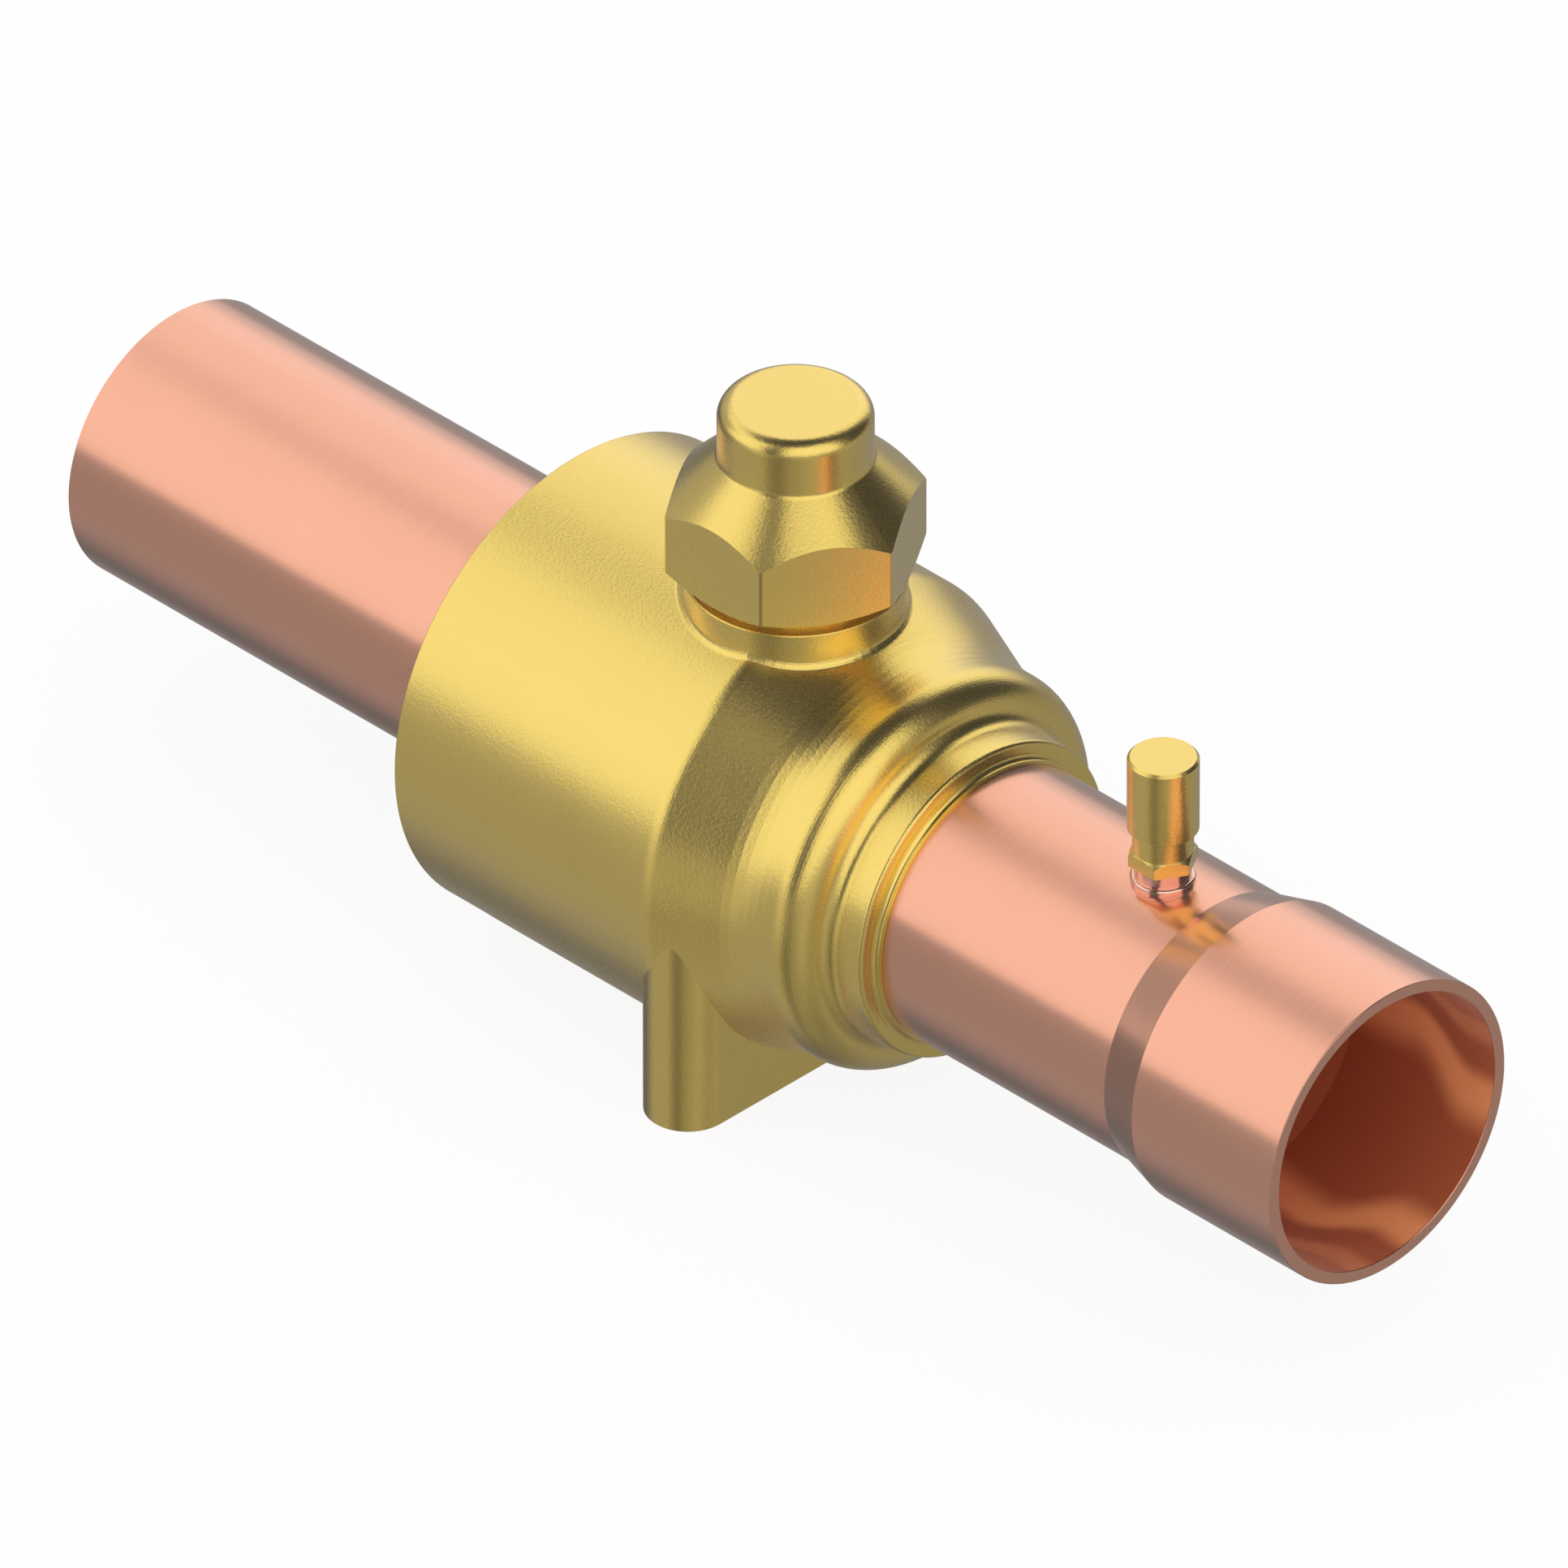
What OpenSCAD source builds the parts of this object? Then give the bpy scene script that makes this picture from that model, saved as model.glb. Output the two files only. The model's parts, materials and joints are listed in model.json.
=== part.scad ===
// Shut-off ball valve for refrigerant pipe, with brazed copper tube ends,
// a screwed seal cap over the stem and an access valve on the outlet tube.
// The flow runs along X, the stem stands along Z and the mounting foot lies along Y.
// The origin is on the mounting plane, straight below the stem's axis. Sizes in mm,
// and heights are measured from the flow axis unless a comment says otherwise.

/* [Body] */
// Height of the flow axis above the mounting plane
axis_h = 45.2; // [43:0.1:48]
// Outside diameter of the forged body
body_d = 92; // [90:0.5:98]
// Step from the body down to the closure's flange, on the radius
closure_step = 0.05; // [0:0.05:1]
// Distance from the stem's axis to the closure's outer face
closure_x = 54.8; // [50:0.1:70]
// Thickness of the closure's flange
closure_flange = 11.1; // [8:0.1:14]
// Wall between the closure's thread and the ball's chamber
closure_ledge = 1.2; // [0.8:0.1:2]
// Distance from the stem's axis to the start of the taper
taper_x = 7.9; // [4:0.1:10]
// Slope of the taper, in degrees
taper_angle = 21.6; // [20:0.1:26]
// Radius where the body passes into the taper
taper_round = 7; // [4:0.5:10]
// Diameter of the ring at the outlet neck
neck_ring_d = 77.9; // [75:0.1:82]
// Radius where the taper runs out into that ring
valley_round = 24; // [8:1:24]
// Slope of the ring's front, in degrees
ring_front_angle = 80.7; // [76:0.1:86]
// Radius at the foot of the ring's front
ring_fillet = 3; // [2:0.1:3.2]
// Length of the outlet lip, from the ring's front
lip_l = 9.3; // [8:0.1:11]
// Wall of the outlet lip round the tube
lip_wall = 3.8; // [3:0.1:5]
// Draft of the lip along its length, on the radius
lip_draft = 0.2; // [0:0.1:0.4]
// Thickness of the shoulder between a seat and its tube
shoulder_t = 2; // [1.5:0.1:3]
// Depth of the outlet tube's brazing socket
braze_depth = 11.5; // [11:0.1:16]

/* [Foot] */
// Distance from the stem's axis to the middle of the foot
foot_x = 9.4; // [4:0.1:12]
// Thickness of the foot along the flow
foot_t = 16; // [12:0.5:20]
// Length of the foot across the flow
foot_l = 88.8; // [80:0.2:90]
// Distance between the two tapped holes in the foot
foot_hole_pitch = 60; // [52:1:66]
// Tapping diameter of the holes in the foot, for an M8 thread
foot_hole_d = 6.8; // [4.2:0.1:8.5]
// Depth of the holes in the foot
foot_hole_depth = 12; // [8:0.5:14]

/* [Tubes] */
// Outside diameter of the copper tubes
tube_d = 54; // [52:0.1:55]
// Wall of the copper tubes
tube_wall = 2.5; // [2:0.1:3]
// Distance from the stem's axis to the inlet tube's end
inlet_x = 156.6; // [100:0.2:220]
// Distance from the stem's axis to the outlet tube's end
outlet_x = 147.4; // [145:0.2:200]
// Gap on the radius between the bell and the pipe that is soldered into it
bell_gap = 0.1; // [0.05:0.05:0.2]
// Wall of the soldering bell
bell_wall = 2.4; // [2:0.1:3]
// Depth of the bell from the tube's end to its stop
bell_depth = 34.2; // [28:0.2:38]
// Length of the cone between tube and bell
bell_cone = 9.3; // [5:0.1:12]
// Length of the bead of filler along the tube
filler_l = 1.7; // [1.4:0.1:3]
// Radius of the hollow in that bead
filler_round = 1.1; // [0.6:0.1:1.2]
// Thickness of the bead at its end on the tube
filler_edge = 0.3; // [0.2:0.05:0.5]
// Thickness of the bead at its end on the brass
filler_lip = 0.1; // [0.05:0.05:0.3]

/* [Ball and seats] */
// Diameter of the ball
ball_d = 74; // [73:0.1:75]
// Gap between the ball and each seat's spherical face
seat_gap = 0.1; // [0.06:0.02:0.2]
// Width of a seat, on the radius
seat_w = 8.5; // [7.5:0.1:9]
// Width of the part of a seat that bears on the ball, on the radius
seat_land = 5.5; // [4:0.1:6.5]
// Thickness of a seat
seat_t = 9.2; // [8:0.1:11]
// Section diameter of the ring behind each seat
seat_ring_section = 2.4; // [1.6:0.1:3]
// Clearance between the ball and its chamber
chamber_gap = 0.8; // [0.4:0.1:1.2]
// Width of the slot in the top of the ball
slot_w = 8; // [6:0.2:10]
// Depth of the slot in the top of the ball
slot_depth = 5.8; // [4:0.2:7]
// Diameter of the hole that vents the chamber into the bore
vent_d = 2; // [1:0.2:4]
// Section diameter of the closure's sealing ring
closure_ring_section = 2.4; // [1.8:0.1:3]

/* [Stem] */
// Diameter of the stem at its seals
stem_d = 14; // [12:0.2:15]
// Running clearance round the stem, on the radius
stem_gap = 0.05; // [0.02:0.01:0.08]
// Diameter of the flange that keeps the stem in
stem_flange_d = 20; // [18:0.2:22]
// Thickness of that flange
stem_flange_t = 3.2; // [2.4:0.1:3.6]
// Thickness of the washer above the flange
thrust_washer_t = 1; // [0.6:0.1:1.4]
// Section diameter of the stem's sealing rings
stem_ring_section = 2; // [1.5:0.1:2.4]
// Side of the square that a wrench turns
square_side = 10; // [8:0.1:11]
// Length of that square
square_l = 16; // [8:0.5:17]
// Chamfer at the end of that square
square_chamfer = 1.5; // [0.5:0.1:2]
// Diameter of the pin that stops the stem
stop_pin_d = 3; // [2:0.1:3.4]
// Reach of that pin from the stem's axis
stop_pin_reach = 13.7; // [12.6:0.1:14]
// Turn between open and shut, in degrees
turn_angle = 90; // [60:5:90]

/* [Stem housing] */
// Diameter of the boss that carries the seal cap
boss_d = 40; // [38:0.2:44]
// Rise of the boss above the ball's chamber
boss_rise = 9.9; // [9.2:0.1:13]
// Radius of the fillet between boss and body
boss_fillet = 2; // [1:0.5:4]
// Thread diameter of the neck under the seal cap
neck_d = 36; // [35:0.1:37]
// Depth of the neck's thread, on the radius
neck_thread = 1; // [0.6:0.1:1.2]
// Height of the neck above the boss
neck_l = 14.3; // [13.6:0.1:16]
// Bore of the neck round the packing
packing_d = 23; // [20:0.1:24]
// Height of the packing ring
packing_h = 3; // [2:0.1:4]
// Height of the gland nut
gland_h = 5; // [4:0.1:6]
// Width of the slot across the gland nut
gland_slot_w = 3; // [2:0.2:4]
// Depth of that slot
gland_slot_depth = 1.8; // [1:0.1:2.4]

/* [Seal cap] */
// Width across the flats of the seal cap
cap_af = 41.7; // [41:0.1:46]
// Gap between the boss and the seal cap
cap_rise = 2.5; // [1.5:0.1:3.5]
// Height of the cap from its lower face to the foot of its crown
cap_skirt = 23.2; // [21:0.1:26]
// Height of the crown
crown_h = 10.8; // [9.6:0.1:14]
// Diameter of the crown
crown_d = 28; // [26:0.1:30]
// Wall of the crown
crown_wall = 2.8; // [2:0.1:3.4]
// Radius of the crown's upper edge
crown_round = 3; // [1:0.1:3.4]
// Radius at the foot of the crown
crown_fillet = 1.5; // [0.5:0.1:3]
// Cut on the corners of the hexagon
cap_corner_cut = 0.17; // [0.1:0.01:0.5]
// Thickness of the gasket under the cap
cap_gasket_t = 1.5; // [1:0.1:2]

/* [Access valve] */
// Distance from the stem's axis to the access valve
access_x = 91.6; // [70:0.2:94]
// Outside diameter of the copper stub
stub_d = 10.3; // [9.6:0.1:11]
// Wall of the copper stub
stub_wall = 1.5; // [1.2:0.1:1.7]
// Width of the bead round the stub's foot
bead_w = 0.75; // [0.5:0.05:1.2]
// Height of that bead
bead_h = 1.1; // [0.8:0.1:1.6]
// Gap between the tube and the access fitting
stub_rise = 3.7; // [2.5:0.1:6]
// Width across the flats of the access fitting
fitting_af = 11.1; // [11.1:0.1:12]
// Height of the fitting's hexagon
fitting_hex_h = 2; // [1.6:0.1:3.4]
// Thread diameter of the access fitting
fitting_thread_d = 11; // [10.6:0.1:11.4]
// Depth of that thread, on the radius
fitting_thread = 0.6; // [0.4:0.05:0.7]
// Height of the whole access fitting
fitting_h = 19.2; // [18.6:0.1:25]
// Height of the plain collar between the hexagon and the fitting's thread
fitting_plain = 6.6; // [5:0.2:8]
// Height of the cone at the fitting's mouth
fitting_cone = 2; // [1.2:0.1:2.4]
// Gap between the fitting's hexagon and the access cap
access_cap_rise = 5.4; // [4:0.1:7]
// Wall of the access cap's skirt
access_cap_wall = 0.87; // [0.8:0.01:1.5]
// Thickness of the access cap's top
access_cap_top = 2; // [1.2:0.1:3]
// Chamfer at the access cap's upper edge
access_cap_chamfer = 0.5; // [0.2:0.1:0.8]
// Thickness of the gasket in the access cap
access_gasket_t = 1.2; // [0.8:0.1:2]
// Thread diameter of the valve core
core_d = 5.2; // [5:0.1:5.6]
// Depth of the valve core below the fitting's mouth
core_sink = 2; // [1.6:0.1:3]
// Diameter of the core's sleeve
sleeve_d = 3.8; // [3.6:0.1:4]
// Length of the whole core body
core_l = 13; // [11:0.5:16]
// Length of the core's threaded head
core_head_l = 5.4; // [4:0.1:6]
// Diameter of the core's pin
pin_d = 1; // [0.8:0.1:1.1]
// Travel of the core's pin
pin_travel = 1.2; // [0.8:0.1:1.6]
// Wire of the core's spring
spring_wire = 0.3; // [0.2:0.05:0.35]
// Turns of the core's spring
spring_turns = 8; // [5:1:12]

/* [Clearances] */
// Gap in a screwed joint, on the radius
thread_gap = 0.08; // [0.04:0.01:0.1]
// Gap in a brazed joint, on the radius
braze_gap = 0.05; // [0.02:0.01:0.08]
// Gap between two pieces that are pressed face to face
face_gap = 0.02; // [0.01:0.01:0.05]
// Gap between a sealing ring and the walls of its groove
ring_gap = 0.04; // [0.02:0.01:0.1]
// Gap between a loose ring and the bore that it lies in, on the radius
loose_gap = 0.3; // [0.2:0.05:0.4]
// Gap between the stem's tongue and the ball's slot
tongue_gap = 0.1; // [0.06:0.01:0.2]
// Gap round the core's pin, on the radius
pin_gap = 0.08; // [0.04:0.01:0.1]

/* [Hidden] */
$fn = 96;
// Sides of the ball and of the sealing rings' sections
ball_sides = 160;
ring_sides = 32;
// Sections of the boss's fillet round the boss
foot_turns = 72;
// Sides of the spring's wire and its sections in one turn
wire_sides = 8;
turn_steps = 16;
brass = [0.80, 0.66, 0.32];
brass_light = [0.86, 0.73, 0.40];
copper = [0.85, 0.55, 0.42];
chrome = [0.82, 0.84, 0.86];
steel = [0.62, 0.63, 0.64];
rubber = [0.12, 0.12, 0.12];
ptfe = [0.93, 0.93, 0.90];
filler = [0.83, 0.66, 0.38];
// Largest angle between two points of an arc, in degrees
arc_step = 5;
// How far a cut runs past the face that it opens
past = 1;
// Angle of the chamfers on the hexagons, in degrees
hex_chamfer = 30;
// Corners flatter than this, in degrees from each leg, stay sharp
straight_angle = 89;
// Steps in the round of the boss's fillet
fillet_steps = 5;
// Straight stretch that is left between two arcs of an outline
arc_gap = 0.05;
// Broken edges: fine, plain and soft
fine_edge = 0.2;
plain_edge = 0.4;
soft_edge = 0.8;

// Radii
body_r = body_d / 2;
closure_r = body_r - closure_step;
neck_ring_r = neck_ring_d / 2;
tube_r = tube_d / 2;
bore_r = tube_r - tube_wall;
socket_r = tube_r + braze_gap;
lip_r = tube_r + lip_wall;
lip_root_r = lip_r + lip_draft;
bell_ri = tube_r + bell_gap;
bell_r = bell_ri + bell_wall;
ball_r = ball_d / 2;
seat_r = bore_r + seat_w;
pocket_r = seat_r + thread_gap;
chamber_r = ball_r + chamber_gap;
closure_thread_r = chamber_r + closure_ledge;
spigot_r = closure_thread_r - thread_gap;
stem_r = stem_d / 2;
stem_bore_r = stem_r + stem_gap;
flange_r = stem_flange_d / 2;
boss_r = boss_d / 2;
neck_r = neck_d / 2;
neck_core_r = neck_r - neck_thread;
packing_r = packing_d / 2;
stop_r = stop_pin_reach + loose_gap;
crown_r = crown_d / 2;
stub_r = stub_d / 2;
fitting_r = fitting_thread_d / 2;
fitting_core_r = fitting_r - fitting_thread;
core_r = core_d / 2;
sleeve_r = sleeve_d / 2;
pin_r = pin_d / 2;

// Places along the flow, measured from the stem's axis
seat_face_x = sqrt(pow(ball_r + seat_gap, 2) - pow(bore_r + seat_land, 2));
seat_back_x = seat_face_x + seat_t;
pocket_x = seat_back_x + seat_ring_section + 2 * ring_gap;
stop_x = pocket_x + shoulder_t;
lip_x = stop_x + braze_depth;
seam_x = closure_x - closure_flange;
ring_x = taper_x + (body_r - neck_ring_r) / tan(taper_angle);
ring_front_x = lip_x - lip_l;
ring_drop = neck_ring_r - lip_root_r;
lip_root_x = ring_front_x + ring_drop / tan(ring_front_angle);
bell_x = outlet_x - bell_depth;

// Radii of the ring's front edge and of the valley behind the ring, as large as there is room for
ring_round = ring_drop / (1 - cos(ring_front_angle)) - ring_fillet - arc_gap;
valley_room = ring_front_x - ring_x - ring_round * tan(ring_front_angle / 2) - arc_gap;
valley_r = min(valley_round, valley_room / tan(taper_angle / 2));

// Heights above the flow axis
slot_z = ball_r - slot_depth;
flange_z = chamber_r;
washer_z = flange_z + stem_flange_t + face_gap;
stem_bore_z = washer_z + thrust_washer_t + face_gap;
boss_z = chamber_r + boss_rise;
neck_z = boss_z + neck_l;
stop_room = stop_pin_d + 4 * loose_gap;
gland_z = neck_z - stop_room - gland_h;
packing_z = gland_z - packing_h;
stop_z = neck_z - stop_room / 2;
gasket_z = neck_z + face_gap;
cap_z = boss_z + cap_rise;
crown_z = cap_z + cap_skirt;
cap_top_z = crown_z + crown_h;
fitting_z = tube_r + stub_rise;
fitting_hex_z = fitting_z + fitting_hex_h;
fitting_top_z = fitting_z + fitting_h;
access_cap_z = fitting_hex_z + access_cap_rise;
access_gasket_z = fitting_top_z + face_gap;
core_top_z = fitting_top_z - core_sink;
core_z = core_top_z - core_l;
core_head_z = core_top_z - core_head_l;

// Groove of the closure's sealing ring
groove_w = closure_ring_section + 4 * ring_gap;
groove_r = spigot_r - closure_ring_section - ring_gap;
groove_x = -seam_x + closure_ring_section;

// Grooves of the stem's sealing rings
stem_groove_w = stem_ring_section + 4 * ring_gap;
stem_groove_r = stem_r - stem_ring_section - ring_gap;

// Inside of the valve core
core_wall = 0.6;
core_floor = 0.8;
core_bore_r = sleeve_r - core_wall;
core_disc_r = sleeve_r - plain_edge;
core_disc_t = 0.8;
core_washer_t = 0.8;
core_seal_t = 0.9;
core_collar_t = 0.7;
core_collar_z = core_top_z - pin_travel - 2 * core_collar_t;
spring_r = (pin_r + core_bore_r) / 2;

// Heights of the stem's sealing rings, a third and two thirds of the way up their bearing
function stem_ring_zs() = [for (i = [1, 2]) stem_bore_z + (packing_z - stem_bore_z) * i / 3];

// One corner of an outline: the arc that rounds the point b, [x, y, radius], between a and c
function corner(a, b, c) =
    let (
        p = [b[0], b[1]],
        r = len(b) > 2 ? b[2] : 0,
        da = [a[0], a[1]] - p,
        dc = [c[0], c[1]] - p,
        u = da / norm(da),
        v = dc / norm(dc),
        half = acos(max(-1, min(1, u * v))) / 2
    )
    r == 0 || half > straight_angle ? [p] :
    let (
        mid = (u + v) / norm(u + v),
        centre = p + mid * r / sin(half),
        from = p + u * r / tan(half) - centre,
        to = p + v * r / tan(half) - centre,
        start = atan2(from[1], from[0]),
        turn = (atan2(to[1], to[0]) - start + 540) % 360 - 180,
        steps = max(2, ceil(abs(turn) / arc_step))
    )
    [for (i = [0:steps]) let (t = start + turn * i / steps) centre + r * [cos(t), sin(t)]];

// A closed outline from points [x, y] or [x, y, radius]
function rounded(pts) =
    let (n = len(pts))
    [for (i = [0:n - 1]) each corner(pts[(i + n - 1) % n], pts[i], pts[(i + 1) % n])];

// Points on a circle round the origin, between two angles
function arc(r, from, to) =
    let (steps = max(2, ceil(abs(to - from) / arc_step)))
    [for (i = [0:steps]) let (t = from + (to - from) * i / steps) r * [cos(t), sin(t)]];

// Raises a piece from the flow axis to its place above the mounting plane
module on_axis() {
    translate([0, 0, axis_h]) children();
}

// Stands a piece over the outlet tube, on the access valve's axis
module on_access() {
    translate([access_x, 0, axis_h]) children();
}

// Turns an outline of [place along the flow, radius] about the flow axis
module turned_x(pts) {
    rotate([0, 90, 0]) rotate_extrude() polygon([for (p = pts) [p[1], p[0]]]);
}

// Turns an outline of [radius, height] about an upright axis
module turned_z(pts) {
    rotate_extrude() polygon(pts);
}

// A round bar or hole along Z, between two heights
module round_z(r, from, to) {
    translate([0, 0, from]) cylinder(r = r, h = to - from);
}

// A sealing ring of round section about the flow axis, at x
module ring_x_at(x, r, section) {
    translate([x, 0, 0]) rotate([0, 90, 0]) rotate_extrude()
        translate([r, 0]) circle(d = section, $fn = ring_sides);
}

// A hexagonal bar along Z with its corners towards X, between two heights
module hexagon(af, from, to) {
    translate([0, 0, from]) cylinder(d = af / cos(30), h = to - from, $fn = 6);
}

// Outline of the forging outside, from the closure's seam to the outlet lip
function body_outline() = rounded([
    [-seam_x, 0],
    [-seam_x, body_r],
    [taper_x, body_r, taper_round],
    [ring_x, neck_ring_r, valley_r],
    [ring_front_x, neck_ring_r, ring_round],
    [lip_root_x, lip_root_r, ring_fillet],
    [lip_x, lip_r, soft_edge],
    [lip_x, 0]
]);

// Outline of the forging inside, from the closure's thread to the outlet's brazing socket
function chamber_outline() = [
    [-seam_x - past, 0],
    [-seam_x - past, closure_thread_r],
    [-seat_face_x + thread_gap, closure_thread_r],
    [-seat_face_x + thread_gap, chamber_r],
    each arc(chamber_r, 90, asin(pocket_r / chamber_r)),
    [pocket_x, pocket_r],
    [pocket_x, bore_r],
    [stop_x, bore_r],
    [stop_x, socket_r],
    [lip_x + past, socket_r],
    [lip_x + past, 0]
];

// Outline of the boss and of the neck inside the seal cap's thread
function boss_outline() = rounded([
    [0, 0],
    [boss_r, 0],
    [boss_r, boss_z, plain_edge],
    [neck_core_r, boss_z],
    [neck_core_r, neck_z, plain_edge],
    [0, neck_z]
]);

// The body's surface grown by d, at x along the flow: its radius and its slope. The radius is
// the body's, then an arc round the start of the taper, then the taper's
function grown_body(x, d) =
    let (
        round_x = taper_x - taper_round * tan(taper_angle / 2),
        round_r = taper_round + d,
        slope = x < round_x ? 0 : asin(min(1, (x - round_x) / round_r))
    )
    slope < taper_angle
        ? [body_r - taper_round + round_r * cos(slope), slope]
        : [body_r + d / cos(taper_angle) - (x - taper_x) * tan(taper_angle), taper_angle];

// One section of the fillet between boss and body, at an angle about the boss: points on a ball
// that touches both, then three points inside the metal
function fillet_section(angle) =
    let (
        out = [cos(angle), sin(angle), 0],
        xy = (boss_r + boss_fillet) * out,
        grown = grown_body(xy[0], boss_fillet),
        ball = [xy[0], xy[1], sqrt(pow(grown[0], 2) - pow(xy[1], 2))],
        normal = [sin(grown[1]), cos(grown[1]) * xy[1] / grown[0], cos(grown[1]) * ball[2] / grown[0]],
        sweep = acos(out * normal),
        r = boss_fillet + face_gap,
        foot_point = ball - (r + past) * normal
    )
    [
        for (i = [0:fillet_steps])
            let (t = sweep * i / fillet_steps)
            ball - r / sin(sweep) * (sin(sweep - t) * out + sin(t) * normal),
        foot_point,
        [(boss_r - past) * out[0], (boss_r - past) * out[1], foot_point[2]],
        ball - (r + past) * out
    ];

// Fillet round the foot of the boss, which rises and falls with the body's surface
module boss_foot() {
    n = len(fillet_section(0));
    points = [for (k = [0:foot_turns - 1]) each fillet_section(360 * k / foot_turns)];
    walls = [
        for (k = [0:foot_turns - 1], i = [0:n - 1])
            let (
                a = k * n + i,
                b = k * n + (i + 1) % n,
                c = (k + 1) % foot_turns * n + i,
                d = (k + 1) % foot_turns * n + (i + 1) % n
            )
            each [[a, b, c], [b, d, c]]
    ];
    polyhedron(points, walls);
}

// Everything below the mounting plane, under the body and the closure
module ground_cut() {
    translate([-inlet_x, -body_d, -axis_h - body_d]) cube([inlet_x + outlet_x, 2 * body_d, body_d]);
}

// Upright slab with round ends that carries the body, from the mounting plane up into it
module foot() {
    straight = foot_l - foot_t;
    translate([foot_x - foot_t / 2, -straight / 2, -axis_h]) cube([foot_t, straight, axis_h]);
    for (side = [-1, 1])
        translate([foot_x, side * straight / 2, 0]) round_z(foot_t / 2, -axis_h, 0);
}

// Recess in the neck's rim that the stop pin sweeps, from open to shut
module stop_recess() {
    half_pin = stop_pin_d / 2 + loose_gap;
    floor_z = neck_z - stop_room;
    depth = stop_room + past;
    rim = [for (turn = [0, turn_angle / 2, turn_angle]) 2 * stop_r * [cos(turn), sin(turn)]];
    intersection() {
        round_z(stop_r, floor_z, neck_z + past);
        union() {
            for (turn = [0, turn_angle])
                rotate([0, 0, turn]) translate([-half_pin, -half_pin, floor_z])
                    cube([stop_r + half_pin, 2 * half_pin, depth]);
            translate([0, 0, floor_z]) linear_extrude(depth) polygon([[0, 0], each rim]);
        }
    }
}

module valve_body() {
    color(brass) on_axis() difference() {
        union() {
            turned_x(body_outline());
            turned_z(boss_outline());
            boss_foot();
            foot();
        }
        turned_x(chamber_outline());
        round_z(flange_r + loose_gap, chamber_r / 2, stem_bore_z);
        round_z(stem_bore_r, chamber_r / 2, neck_z + past);
        round_z(packing_r, packing_z, neck_z + past);
        stop_recess();
        for (side = [-1, 1])
            translate([foot_x, side * foot_hole_pitch / 2, -axis_h])
                round_z(foot_hole_d / 2, -past, foot_hole_depth);
        ground_cut();
    }
}

// Threaded piece that shuts the body behind the ball and holds the inlet tube
module closure() {
    color(brass) on_axis() difference() {
        turned_x(rounded([
            [-closure_x, socket_r],
            [-closure_x, closure_r, fine_edge],
            [-seam_x - face_gap, closure_r],
            [-seam_x - face_gap, spigot_r],
            [groove_x, spigot_r],
            [groove_x, groove_r],
            [groove_x + groove_w, groove_r],
            [groove_x + groove_w, spigot_r],
            [-seat_face_x, spigot_r],
            [-seat_face_x, pocket_r],
            [-pocket_x, pocket_r],
            [-pocket_x, bore_r],
            [-stop_x, bore_r],
            [-stop_x, socket_r]
        ]));
        ground_cut();
    }
}

// Sealing ring in the closure's groove
module closure_ring() {
    color(rubber) on_axis()
        ring_x_at(groove_x + groove_w / 2, groove_r + closure_ring_section / 2 + ring_gap, closure_ring_section);
}

module inlet_tube() {
    color(copper) on_axis() turned_x([
        [-inlet_x, bore_r],
        [-inlet_x, tube_r],
        [-stop_x - face_gap, tube_r],
        [-stop_x - face_gap, bore_r]
    ]);
}

module outlet_tube() {
    color(copper) on_axis() difference() {
        turned_x(rounded([
            [stop_x + face_gap, bore_r],
            [stop_x + face_gap, tube_r],
            [bell_x - bell_cone, tube_r],
            [bell_x, bell_r, plain_edge],
            [outlet_x, bell_r, fine_edge],
            [outlet_x, bell_ri, fine_edge],
            [bell_x, bell_ri],
            [bell_x - bell_cone + tube_wall, bore_r, plain_edge]
        ]));
        translate([access_x, 0, 0]) round_z(stub_r + braze_gap, 0, tube_r + past);
    }
}

// Hollow bead of filler round a tube, in front of the socket's mouth at x
module braze_bead(x) {
    start_x = x + face_gap;
    root_x = start_x + filler_lip;
    edge_r = tube_r + filler_edge;
    top_r = edge_r + filler_round + arc_gap;
    turned_x(rounded([
        [start_x, tube_r + face_gap],
        [x + filler_l, tube_r + face_gap],
        [x + filler_l, edge_r],
        [root_x, edge_r, filler_round],
        [root_x, top_r],
        [start_x, top_r]
    ]));
}

module outlet_braze() {
    color(filler) on_axis() braze_bead(lip_x);
}

module inlet_braze() {
    color(filler) on_axis() mirror([1, 0, 0]) braze_bead(closure_x);
}

module ball() {
    color(chrome) on_axis() difference() {
        sphere(ball_r, $fn = ball_sides);
        rotate([0, 90, 0]) cylinder(r = bore_r, h = 2 * ball_d, center = true);
        translate([-slot_w / 2, -ball_r, slot_z]) cube([slot_w, ball_d, ball_r]);
        round_z(vent_d / 2, 0, ball_r);
    }
}

// Seat on the outlet side, with a spherical face that bears on the ball
module seat() {
    difference() {
        turned_x([
            [seat_face_x, bore_r],
            [seat_face_x, seat_r],
            [seat_back_x, seat_r],
            [seat_back_x, bore_r]
        ]);
        sphere(ball_r + seat_gap, $fn = ball_sides);
    }
}

module outlet_seat() {
    color(ptfe) on_axis() seat();
}

module inlet_seat() {
    color(ptfe) on_axis() mirror([1, 0, 0]) seat();
}

// Rings that press the seats against the ball
module outlet_seat_ring() {
    color(rubber) on_axis() seat_ring();
}

module inlet_seat_ring() {
    color(rubber) on_axis() mirror([1, 0, 0]) seat_ring();
}

module seat_ring() {
    ring_x_at(seat_back_x + seat_ring_section / 2 + ring_gap, seat_r - seat_ring_section / 2, seat_ring_section);
}

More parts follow.
